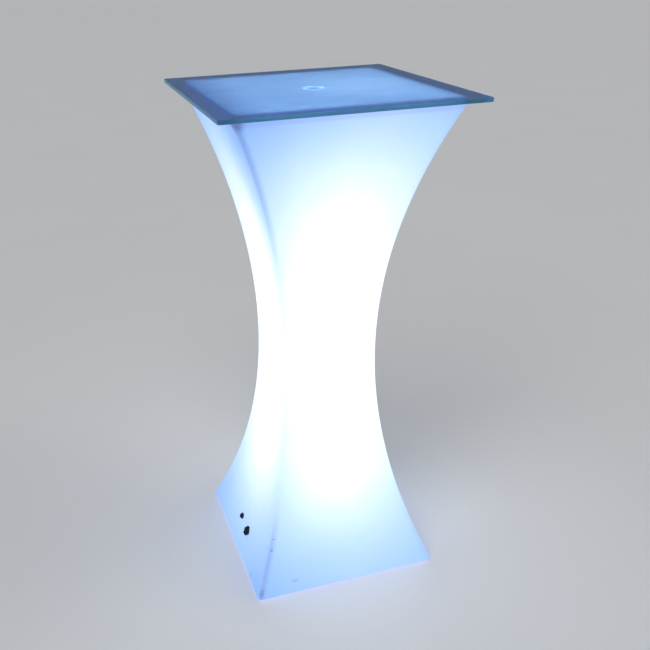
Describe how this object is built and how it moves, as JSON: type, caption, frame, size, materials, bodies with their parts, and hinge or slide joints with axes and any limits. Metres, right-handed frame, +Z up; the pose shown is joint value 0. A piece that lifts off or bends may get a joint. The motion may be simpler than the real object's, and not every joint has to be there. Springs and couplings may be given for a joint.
{
  "type": "light-up bar table",
  "caption": "Waisted square light-up bar table: a translucent plastic body lit from inside by a central light mast, under an overhanging square frosted glass top.",
  "frame": {"origin": "on the floor, under the middle of the table", "axes": "+Z up; the front faces -Y; the side with the button and the charging socket faces -X"},
  "size_m": [0.516, 0.516, 1.1],
  "materials": {
    "glowing_shell": "satin translucent white, lit from inside in cool blue-white",
    "frosted_glass": "toughened, lightly frosted, blue-tinted",
    "clear_rubber": "clear, glossy",
    "black_rubber": "matte",
    "white_plastic": "matte",
    "bright_steel": "bright zinc plated",
    "grey_foam": "closed-cell foam",
    "black_plastic": "satin",
    "mast_aluminium": "anodised satin",
    "white_board": "white solder mask",
    "battery_wrap": "heat-shrink film",
    "green_board": "green solder mask",
    "brass_pin": "bright"
  },
  "bodies": {
    "table": {"body_shell": "glowing_shell", "suction_cup": "clear_rubber", "foot_pad_front_left": "black_rubber", "foot_pad_rear_left": "black_rubber", "foot_pad_front_right": "black_rubber", "foot_pad_rear_right": "black_rubber", "switch_seal": "black_rubber", "cap_leash": "black_rubber", "switch_lead": "black_rubber", "charge_lead": "black_rubber", "lamp_lead": "black_rubber", "battery_lead": "black_rubber", "base_cover": "white_plastic", "switch_block": "white_plastic", "cover_screw_1": "bright_steel", "cover_screw_2": "bright_steel", "cover_screw_3": "bright_steel", "cover_screw_4": "bright_steel", "cover_screw_5": "bright_steel", "cover_screw_6": "bright_steel", "mast_foot_screw_1": "bright_steel", "mast_foot_screw_2": "bright_steel", "mast_foot_screw_3": "bright_steel", "mast_foot_screw_4": "bright_steel", "mast_bolt": "bright_steel", "mast_nut": "bright_steel", "battery_band": "bright_steel", "band_screw_1": "bright_steel", "band_screw_2": "bright_steel", "box_screw_1": "bright_steel", "box_screw_2": "bright_steel", "lid_screw_1": "bright_steel", "lid_screw_2": "bright_steel", "board_screw_1": "bright_steel", "board_screw_2": "bright_steel", "switch_spring": "bright_steel", "cover_gasket": "grey_foam", "battery_pad": "grey_foam", "mast_foot": "black_plastic", "mast_cap": "black_plastic", "control_box": "black_plastic", "control_lid": "black_plastic", "switch_housing": "black_plastic", "switch_nut": "black_plastic", "charge_socket": "black_plastic", "socket_nut": "black_plastic", "lamp_mast": "mast_aluminium", "feed_board": "white_board", "led_strip_front": "white_board", "led_strip_right": "white_board", "led_strip_rear": "white_board", "led_strip_left": "white_board", "battery_pack": "battery_wrap", "control_board": "green_board", "charge_pin": "brass_pin"},
    "glass": {"glass_top": "frosted_glass"},
    "button": {"power_button": "black_rubber"},
    "cap": {"socket_cap": "black_rubber"}
  },
  "joints": [
    {"name": "glass_lift", "type": "slide", "parent": "table", "child": "glass", "axis": [0, 0, 1], "range_m": [0, 0.1]},
    {"name": "button_press", "type": "slide", "parent": "table", "child": "button", "axis": [0.9362, 0, -0.3516], "range_m": [0, 0.0015], "stiffness_N_per_m": 1200, "springref_m": -0.0005, "deforming": ["switch_spring"]},
    {"name": "cap_hinge", "type": "hinge", "parent": "table", "child": "cap", "pos_m": [-0.1922, -0.048, 0.08098], "axis": [0, 1, 0], "range_deg": [0, 110]}
  ]
}
